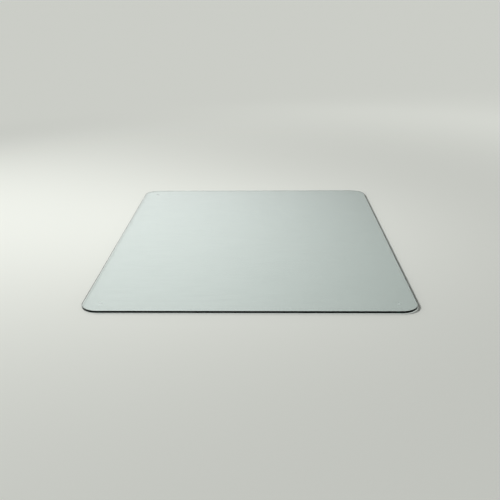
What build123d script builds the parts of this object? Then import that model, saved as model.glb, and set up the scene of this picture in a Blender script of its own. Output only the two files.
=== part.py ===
from build123d import *
import os

# A clear tempered-glass chair mat. One flat pane with rounded corners and a
# flat polished rim lies on a small clear stick-on bumper near each corner.
# Millimetres, +Z up, +X to the right and +Y from the front rim to the back rim.
# The origin is on the floor, under the middle of the pane.

# Pane
pane_width = 914.4  # 36 in, along X
pane_depth = 1168.4  # 46 in, along Y
pane_thickness = 6.35  # 1/4 in
corner_radius = 50.8  # 2 in, seen from above
arris = 0.8  # leg of the 45 degree bevel that takes the sharp corner off the rim

# Bumpers and the adhesive that holds them
bumper_diameter = 12.7  # 1/2 in, at the glass
bumper_height = 1.4
bumper_draft = 8.0  # degrees, the side narrows towards the foot
foot_rounding = 0.45
adhesive_diameter = 12.3
adhesive_thickness = 0.2
bumper_inset = 50.8  # bumper centre from both rims, so it is the corner's centre

# Heights above the floor
adhesive_bottom = bumper_height
pane_bottom = bumper_height + adhesive_thickness

bumper_x = pane_width / 2 - bumper_inset
bumper_y = pane_depth / 2 - bumper_inset
corners = {
    "front_left": (-bumper_x, -bumper_y),
    "front_right": (bumper_x, -bumper_y),
    "back_left": (-bumper_x, bumper_y),
    "back_right": (bumper_x, bumper_y),
}

os.makedirs("parts", exist_ok=True)


# The pane: a rounded rectangle with an upright polished rim, and a small arris
# ground along its upper and lower outlines.
with BuildPart() as glass_pane:
    with BuildSketch(Plane.XY.offset(pane_bottom)):
        RectangleRounded(pane_width, pane_depth, corner_radius)
    extrude(amount=pane_thickness)
    lower_face, upper_face = faces().filter_by(Axis.Z).sort_by(Axis.Z)
    chamfer(lower_face.edges() + upper_face.edges(), length=arris)

glass_pane.part.label = "glass_pane"
export_step(glass_pane.part, "parts/glass_pane.step")


for corner, (centre_x, centre_y) in corners.items():
    # One bumper: a low drafted puck, widest at the glass, with a rounded foot.
    with BuildPart() as bumper:
        with BuildSketch(Plane((centre_x, centre_y, bumper_height), z_dir=(0, 0, -1))):
            Circle(bumper_diameter / 2)
        extrude(amount=bumper_height, taper=bumper_draft)
        foot = faces().sort_by(Axis.Z)[0]
        fillet(foot.edges(), radius=foot_rounding)

    bumper_name = f"bumper_{corner}"
    bumper.part.label = bumper_name
    export_step(bumper.part, f"parts/{bumper_name}.step")

    # The thin clear adhesive disc between this bumper and the pane.
    with BuildPart() as adhesive:
        with BuildSketch(Plane((centre_x, centre_y, adhesive_bottom))):
            Circle(adhesive_diameter / 2)
        extrude(amount=adhesive_thickness)

    adhesive_name = f"adhesive_{corner}"
    adhesive.part.label = adhesive_name
    export_step(adhesive.part, f"parts/{adhesive_name}.step")
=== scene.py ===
import math

import bmesh
import bpy
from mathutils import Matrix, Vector


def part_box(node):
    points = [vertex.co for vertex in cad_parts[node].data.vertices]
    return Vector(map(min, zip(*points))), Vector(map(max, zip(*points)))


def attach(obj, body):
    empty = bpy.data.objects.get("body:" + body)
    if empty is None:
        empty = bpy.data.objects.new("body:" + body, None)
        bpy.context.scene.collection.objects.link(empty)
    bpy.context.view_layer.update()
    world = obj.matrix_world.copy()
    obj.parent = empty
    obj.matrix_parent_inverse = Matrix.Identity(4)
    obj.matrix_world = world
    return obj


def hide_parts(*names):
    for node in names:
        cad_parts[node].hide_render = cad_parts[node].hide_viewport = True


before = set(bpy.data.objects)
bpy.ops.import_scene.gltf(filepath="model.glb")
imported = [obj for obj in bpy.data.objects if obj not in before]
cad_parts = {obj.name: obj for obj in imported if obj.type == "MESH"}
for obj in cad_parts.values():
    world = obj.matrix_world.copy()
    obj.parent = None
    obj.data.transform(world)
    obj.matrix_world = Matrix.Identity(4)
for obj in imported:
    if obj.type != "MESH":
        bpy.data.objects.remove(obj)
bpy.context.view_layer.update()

# ---------------------------------------------------------------- the pane's measures, in metres
PANE_LOW, PANE_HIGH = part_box("glass_pane")
CORNER_RADIUS = 0.0508
ARRIS = 0.0008  # leg of the bevel along the rim's upper and lower outline
CORNER_STEPS = 48  # facets round a quarter of the outline
GRID_CELL = 0.05  # longest side of a cell on the flat faces

# ---------------------------------------------------------------- glass
GLASS_IOR = 1.52
FACE_TINT = (0.92, 0.96, 0.955, 1)
WIPE_TINT = (0.895, 0.935, 0.93, 1)  # where wiping has left a film
# Painted shade: the rim's colour and the tint of its reflections are painted dark green, for the dark look of
# light that has come the long way through the glass.
RIM_PAINTED_SHADE = (0.02, 0.07, 0.05, 1)
RIM_PAINTED_DARK_GLOSS = (0.12, 0.15, 0.14, 1)
RIM_SLOPE = (0.98, 0.9)  # how far a face's normal is upright where the rim's painted shade and lamp shade start and are full
DEPTH_TINT = (0.30, 0.62, 0.52, 1)  # what the thickness lets through, at DEPTH_DENSITY
DEPTH_DENSITY = 4.0
FACE_SHADE = (0.94, 0.96, 0.967, 1)  # how much of a lamp's light each face lets through
RIM_SHADE_IN = (0.62, 0.65, 0.64, 1)  # the same for light that comes in through the rim
RIM_SHADE_OUT = (0.01, 0.015, 0.01, 1)  # light on its way out is turned back by the rim
# The marks on the faces come from noise: its scale, detail and roughness, and the values between which
# a mark goes from nothing to full.
SMUDGE_NOISE, SMUDGE_RANGE = (5.0, 5.0, 0.6), (0.5, 0.75)
SMUDGE_ROUGH = 0.03
HAIRLINE_NOISE, HAIRLINE_LEVEL = (14.0, 3.0, 0.4), 0.5  # a hairline is where the noise is at this level
HAIRLINE_WIDTH = 0.0015  # as far as this from the level
HAIRLINE_ROUGH = 0.05
WIPE_NOISE, WIPE_RANGE = (1.0, 6.0, 0.65), (0.42, 0.66)
WIPE_STRETCH = (9.0, 55.0, 1.0)  # scales along X, Y and Z, so that the film lies in streaks along X
WIPE_ROUGH = 0.02
WAVE_LENGTH = 0.3  # roller waves left by tempering, across the pane's depth
WAVE_HEIGHT = 0.00002
WAVE_DRIFT = 2.0  # uneven swelling between the waves, as a multiple of their height
DRIFT_SCALE = 3.0

# ---------------------------------------------------------------- clear plastic under the corners
PLASTIC_IOR = 1.48
CLOUD_NOISE, CLOUD_RANGE = (900.0, 4.0, 0.6), (0.3, 0.7)  # the haze comes in fine clouds
CLOUD_SHADE = 0.9  # share of the colour in a cloud
CLOUD_ROUGH = 0.15  # added in a cloud
CLOUD_HAZE = 1.8  # times the haze in a cloud
BUMPER_COLOUR = (0.90, 0.92, 0.89, 1)
BUMPER_HAZE, BUMPER_ROUGH = 0.10, 0.25
ADHESIVE_COLOUR = (0.92, 0.92, 0.89, 1)
ADHESIVE_HAZE, ADHESIVE_ROUGH = 0.05, 0.10

# ---------------------------------------------------------------- camera and studio
LENS = 48.98  # millimetres, as is SENSOR
SENSOR = 36
TILT = math.radians(20.82)  # down from level
LEAN = math.radians(0.48)  # sideways, about the way ahead
TURN = math.radians(1.17)  # to the left
CAMERA_SIDE = 0.0436  # to the right of the pane's middle
CAMERA_FROM_RIM = 1.629  # in front of the front rim
CAMERA_HEIGHT = 0.7931  # above the glass
CLIP = (0.01, 500)
FLOOR_RADIUS = 400.0
FLOOR_SIDES = 96
FLOOR_GAP = 0.0001  # keeps the floor's face off the bumpers' feet
FLOOR_COLOUR = (0.80, 0.82, 0.765, 1)
FAR_PAINTED_GLOW = 0.44  # painted light: the far floor glows with emission, so that it stays pale to the horizon
FAR_PAINTED_GLOW_FROM, FAR_PAINTED_GLOW_FULL = 0.6, 3.0  # distance from the pane's middle
BACKDROP_SHARE = 0.743  # the backdrop is as bright as the far floor: this share of the floor's colour
KEY_PLACE = (-2.8, 0.2, 3.0)
KEY_AIM = (0.1, 0.15, 0.0)
KEY_SIZE = (0.9, 0.9)
KEY_POWER = 21.8  # watts
KEY_SPREAD = math.radians(70)  # a soft box with a grid over it
WALL_LEFT, WALL_RIGHT = 0.92, 0.12  # brightness of the walls
WALL_SPREAD = (-0.20, 0.28)  # where, from left to right, the walls change
HORIZON = 0.62  # brightness at the foot of the walls
HORIZON_FADE = (0.18, 0.26)  # sines of the heights at which it gives way to the walls
CEILING = 0.15
CEILING_FADE = (0.50, 0.75)


class Nodes:
    """A short way to write a node tree: it adds a node, sets its inputs and links the sockets given."""

    def __init__(self, tree):
        self.tree = tree
        tree.nodes.clear()

    def add(self, kind, inputs=None, **settings):
        node = self.tree.nodes.new(kind)
        for key, value in settings.items():
            setattr(node, key, value)
        for key, value in (inputs or {}).items():
            if isinstance(value, bpy.types.NodeSocket):
                self.tree.links.new(value, node.inputs[key])
            else:
                node.inputs[key].default_value = value
        return node

    def maths(self, operation, *values):
        inputs = dict(enumerate(values))
        return self.add("ShaderNodeMath", inputs, operation=operation).outputs[0]

    def ramp(self, value, low, high, to_low, to_high, smooth=False):
        """A value carried from one range to another, and held at its ends."""
        kind = "SMOOTHSTEP" if smooth else "LINEAR"
        inputs = {"Value": value, "From Min": low, "From Max": high, "To Min": to_low, "To Max": to_high}
        return self.add("ShaderNodeMapRange", inputs, interpolation_type=kind).outputs[0]

    def blend(self, share, first, second):
        """A colour between two, by share."""
        node = self.add("ShaderNodeMix", {0: share, 6: first, 7: second}, data_type="RGBA")
        return node.outputs[2]

    def between(self, share, first, second):
        """A number between two, by share."""
        return self.add("ShaderNodeMix", {0: share, 2: first, 3: second}, data_type="FLOAT").outputs[0]

    def noise(self, place, scale, detail=2.0, rough=0.5):
        inputs = {"Vector": place, "Scale": scale, "Detail": detail, "Roughness": rough}
        return self.add("ShaderNodeTexNoise", inputs).outputs[0]


def new_material(name):
    material = bpy.data.materials.new(name)
    material.use_nodes = True
    return material, Nodes(material.node_tree)


def spread(low, high, cell):
    """Even steps from low to high, none longer than cell."""
    count = max(1, math.ceil((high - low) / cell))
    return [low + (high - low) * i / count for i in range(count + 1)]


def pane_outline(xs, ys):
    """Once round the pane: a point on the rectangle of corner centres, and the way out from it."""
    quarter = math.pi / 2
    turns = [quarter * i / CORNER_STEPS for i in range(CORNER_STEPS)]
    left, right, front, back = xs[0], xs[-1], ys[0], ys[-1]
    outline = [((x, front), -quarter) for x in xs[:-1]]
    outline += [((right, front), -quarter + turn) for turn in turns]
    outline += [((right, y), 0.0) for y in ys[:-1]]
    outline += [((right, back), turn) for turn in turns]
    outline += [((x, back), quarter) for x in xs[:0:-1]]
    outline += [((left, back), quarter + turn) for turn in turns]
    outline += [((left, y), 2 * quarter) for y in ys[:0:-1]]
    outline += [((left, front), 2 * quarter + turn) for turn in turns]
    return outline


def make_pane():
    """The glass as one closed mesh: a grid on each face, and an upright rim with an arris above and below."""
    bm = bmesh.new()
    xs = spread(PANE_LOW.x + CORNER_RADIUS, PANE_HIGH.x - CORNER_RADIUS, GRID_CELL)
    ys = spread(PANE_LOW.y + CORNER_RADIUS, PANE_HIGH.y - CORNER_RADIUS, GRID_CELL)
    outline = pane_outline(xs, ys)
    section = [
        (CORNER_RADIUS - ARRIS, PANE_HIGH.z),
        (CORNER_RADIUS, PANE_HIGH.z - ARRIS),
        (CORNER_RADIUS, PANE_LOW.z + ARRIS),
        (CORNER_RADIUS - ARRIS, PANE_LOW.z),
    ]
    rings = [
        [bm.verts.new((foot[0] + out * math.cos(way), foot[1] + out * math.sin(way), height))
         for foot, way in outline]
        for out, height in section
    ]
    steps = [(i, (i + 1) % len(outline)) for i in range(len(outline))]
    for upper, lower in zip(rings, rings[1:]):
        for i, j in steps:
            bm.faces.new((upper[i], lower[i], lower[j], upper[j]))

    for height, ring, up in ((PANE_HIGH.z, rings[0], True), (PANE_LOW.z, rings[-1], False)):
        grid = {(x, y): bm.verts.new((x, y, height)) for x in xs for y in ys}
        cells = [
            (grid[a, c], grid[b, c], grid[b, d], grid[a, d])
            for a, b in zip(xs, xs[1:])
            for c, d in zip(ys, ys[1:])
        ]
        for i, j in steps:
            here, there = grid[outline[i][0]], grid[outline[j][0]]
            cells.append((here, ring[i], ring[j]) if here is there else (here, ring[i], ring[j], there))
        for cell in cells:
            bm.faces.new(cell if up else cell[::-1])

    bmesh.ops.recalc_face_normals(bm, faces=bm.faces)
    for face in bm.faces:
        face.smooth = True
    for ring in rings:
        for i, j in steps:
            bm.edges.get((ring[i], ring[j])).smooth = False
    mesh = bpy.data.meshes.new("pane_mesh")
    bm.to_mesh(mesh)
    bm.free()
    pane = bpy.data.objects.new("pane", mesh)
    bpy.context.scene.collection.objects.link(pane)
    return pane


def glass_marks(n, place):
    """Where the faces carry a wiped film, and how rough that, smudges and hairlines make them."""
    smudge = n.ramp(n.noise(place, *SMUDGE_NOISE), *SMUDGE_RANGE, 0.0, SMUDGE_ROUGH)
    thread = n.maths("COMPARE", n.noise(place, *HAIRLINE_NOISE), HAIRLINE_LEVEL, HAIRLINE_WIDTH)
    hairline = n.ramp(thread, 0.0, 1.0, 0.0, HAIRLINE_ROUGH)
    streaks = n.add("ShaderNodeVectorMath", {0: place, 1: WIPE_STRETCH}, operation="MULTIPLY").outputs[0]
    film = n.ramp(n.noise(streaks, *WIPE_NOISE), *WIPE_RANGE, 0.0, 1.0)
    rough = n.maths("MULTIPLY_ADD", film, WIPE_ROUGH, n.maths("ADD", smudge, hairline))
    return film, rough


def glass_waves(n, place):
    """The normal of faces with faint roller waves along Y, as tempering leaves them."""
    along = n.add("ShaderNodeSeparateXYZ", {0: place}).outputs["Y"]
    wave = n.maths("SINE", n.maths("MULTIPLY", along, math.tau / WAVE_LENGTH))
    height = n.maths("MULTIPLY_ADD", n.noise(place, DRIFT_SCALE), WAVE_DRIFT, wave)
    bump = n.add("ShaderNodeBump", {"Strength": 1.0, "Distance": WAVE_HEIGHT, "Height": height})
    return bump.outputs[0]


def glass_material():
    """Clear float glass. The rim is told from the faces by its normal. Its colour and its reflections are
    painted dark green, a painted shade for light that leaves by it after coming the long way through the
    glass."""
    material, n = new_material("clear_glass")
    place = n.add("ShaderNodeTexCoord").outputs["Object"]
    shape = n.add("ShaderNodeNewGeometry").outputs
    upright = n.add("ShaderNodeSeparateXYZ", {0: shape["True Normal"]}).outputs["Z"]
    rim = n.ramp(n.maths("ABSOLUTE", upright), *RIM_SLOPE, 0.0, 1.0)
    film, rough = glass_marks(n, place)

    solid = n.add(
        "ShaderNodeBsdfPrincipled",
        {
            # Painted shade: the rim's base colour is painted dark green.
            "Base Color": n.blend(rim, n.blend(film, FACE_TINT, WIPE_TINT), RIM_PAINTED_SHADE),
            "Roughness": rough,
            "IOR": GLASS_IOR,
            "Transmission Weight": 1.0,
            # Painted shade: the rim's reflections are painted darker.
            "Specular Tint": n.blend(rim, (1, 1, 1, 1), RIM_PAINTED_DARK_GLOSS),
            "Normal": glass_waves(n, place),
        },
    ).outputs[0]
    rim_shade = n.blend(shape["Backfacing"], RIM_SHADE_OUT, RIM_SHADE_IN)
    clear = n.add("ShaderNodeBsdfTransparent", {"Color": n.blend(rim, FACE_SHADE, rim_shade)}).outputs[0]

    # The lamp's light and the floor's own light pass straight through, so the floor below is lit.
    path = n.add("ShaderNodeLightPath").outputs
    lit = n.add("ShaderNodeMixShader", {0: path["Is Shadow Ray"], 1: solid, 2: clear}).outputs[0]
    mix = n.add("ShaderNodeMixShader", {0: path["Is Diffuse Ray"], 1: lit, 2: clear}).outputs[0]
    depth = n.add("ShaderNodeVolumeAbsorption", {"Color": DEPTH_TINT, "Density": DEPTH_DENSITY})
    n.add("ShaderNodeOutputMaterial", {"Surface": mix, "Volume": depth.outputs[0]})
    return material


def clear_plastic_material(name, colour, haze, rough):
    """Clear plastic wetted out against the glass: all but unseen, with a faint uneven haze."""
    material, n = new_material(name)
    place = n.add("ShaderNodeTexCoord").outputs["Object"]
    cloud = n.noise(place, *CLOUD_NOISE)
    darker = tuple(CLOUD_SHADE * c for c in colour[:3]) + (1,)
    solid = n.add(
        "ShaderNodeBsdfPrincipled",
        {
            "Base Color": n.blend(cloud, colour, darker),
            "Roughness": n.ramp(cloud, *CLOUD_RANGE, rough, rough + CLOUD_ROUGH),
            "IOR": PLASTIC_IOR,
            "Alpha": n.ramp(cloud, *CLOUD_RANGE, haze, CLOUD_HAZE * haze),
        },
    )
    n.add("ShaderNodeOutputMaterial", {"Surface": solid.outputs[0]})
    return material


def make_camera():
    data = bpy.data.cameras.new("camera")
    data.lens = LENS
    data.sensor_width = SENSOR
    data.clip_start, data.clip_end = CLIP
    camera = bpy.data.objects.new("camera", data)
    camera.location = (CAMERA_SIDE, PANE_LOW.y - CAMERA_FROM_RIM, PANE_HIGH.z + CAMERA_HEIGHT)
    camera.rotation_euler = (math.pi / 2 - TILT, LEAN, TURN)
    bpy.context.scene.collection.objects.link(camera)
    bpy.context.scene.camera = camera


def make_floor():
    """A pale disc out to the horizon, a hair below the bumpers' feet."""
    bm = bmesh.new()
    bmesh.ops.create_circle(bm, cap_ends=True, segments=FLOOR_SIDES, radius=FLOOR_RADIUS)
    mesh = bpy.data.meshes.new("floor_mesh")
    bm.to_mesh(mesh)
    bm.free()
    floor = bpy.data.objects.new("floor", mesh)
    floor.location.z = -FLOOR_GAP
    bpy.context.scene.collection.objects.link(floor)
    material, n = new_material("floor")
    place = n.add("ShaderNodeTexCoord").outputs["Object"]
    away = n.add("ShaderNodeVectorMath", {0: place}, operation="LENGTH").outputs["Value"]
    inputs = {
        "Base Color": FLOOR_COLOUR,
        "Roughness": 1.0,
        "Specular IOR Level": 0.0,
        "Emission Color": FLOOR_COLOUR,
        # Painted light: the floor glows further out, so that it stays pale to the horizon.
        "Emission Strength": n.ramp(away, FAR_PAINTED_GLOW_FROM, FAR_PAINTED_GLOW_FULL, 0.0, FAR_PAINTED_GLOW, smooth=True),
    }
    solid = n.add("ShaderNodeBsdfPrincipled", inputs)
    n.add("ShaderNodeOutputMaterial", {"Surface": solid.outputs[0]})
    mesh.materials.append(material)


def make_key():
    """One soft box with a grid, high on the left."""
    data = bpy.data.lights.new("key", "AREA")
    data.shape = "RECTANGLE"
    data.size, data.size_y = KEY_SIZE
    data.energy = KEY_POWER
    data.spread = KEY_SPREAD
    light = bpy.data.objects.new("key", data)
    light.location = KEY_PLACE
    aim = Vector(KEY_AIM) - Vector(KEY_PLACE)
    light.rotation_euler = aim.to_track_quat("-Z", "Y").to_euler()
    bpy.context.scene.collection.objects.link(light)


def make_world():
    """A pale studio, for what the glass mirrors: walls brighter to the left than to the right, with a
    pale foot and a dim ceiling. The camera itself sees a plain backdrop that continues the floor."""
    world = bpy.data.worlds.new("studio")
    bpy.context.scene.world = world
    world.use_nodes = True
    n = Nodes(world.node_tree)
    way = n.add("ShaderNodeTexCoord").outputs["Generated"]
    split = n.add("ShaderNodeSeparateXYZ", {0: way}).outputs
    walls = n.ramp(split["X"], *WALL_SPREAD, WALL_LEFT, WALL_RIGHT, smooth=True)
    low = n.ramp(split["Z"], *HORIZON_FADE, 1.0, 0.0, smooth=True)
    high = n.ramp(split["Z"], *CEILING_FADE, 0.0, 1.0, smooth=True)
    studio = n.between(high, n.between(low, walls, HORIZON), CEILING)
    direct = n.add("ShaderNodeLightPath").outputs["Is Camera Ray"]
    colour = n.blend(direct, (1, 1, 1, 1), FLOOR_COLOUR)
    strength = n.between(direct, studio, BACKDROP_SHARE)
    sky = n.add("ShaderNodeBackground", {"Color": colour, "Strength": strength})
    n.add("ShaderNodeOutputWorld", {"Surface": sky.outputs[0]})


bpy.context.scene.view_settings.view_transform = "Standard"
make_camera()
make_floor()
make_world()
make_key()

pane = make_pane()
pane.data.materials.append(glass_material())
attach(pane, "root")
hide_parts("glass_pane")

# The clear pieces under the corners throw no shadow of their own.
plastics = {
    "bumper": clear_plastic_material("clear_bumper", BUMPER_COLOUR, BUMPER_HAZE, BUMPER_ROUGH),
    "adhesive": clear_plastic_material("clear_adhesive", ADHESIVE_COLOUR, ADHESIVE_HAZE, ADHESIVE_ROUGH),
}
for name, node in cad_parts.items():
    plastic = plastics.get(name.split("_")[0])
    if plastic:
        node.data.materials.clear()
        node.data.materials.append(plastic)
        node.visible_shadow = False
        node.visible_diffuse = False
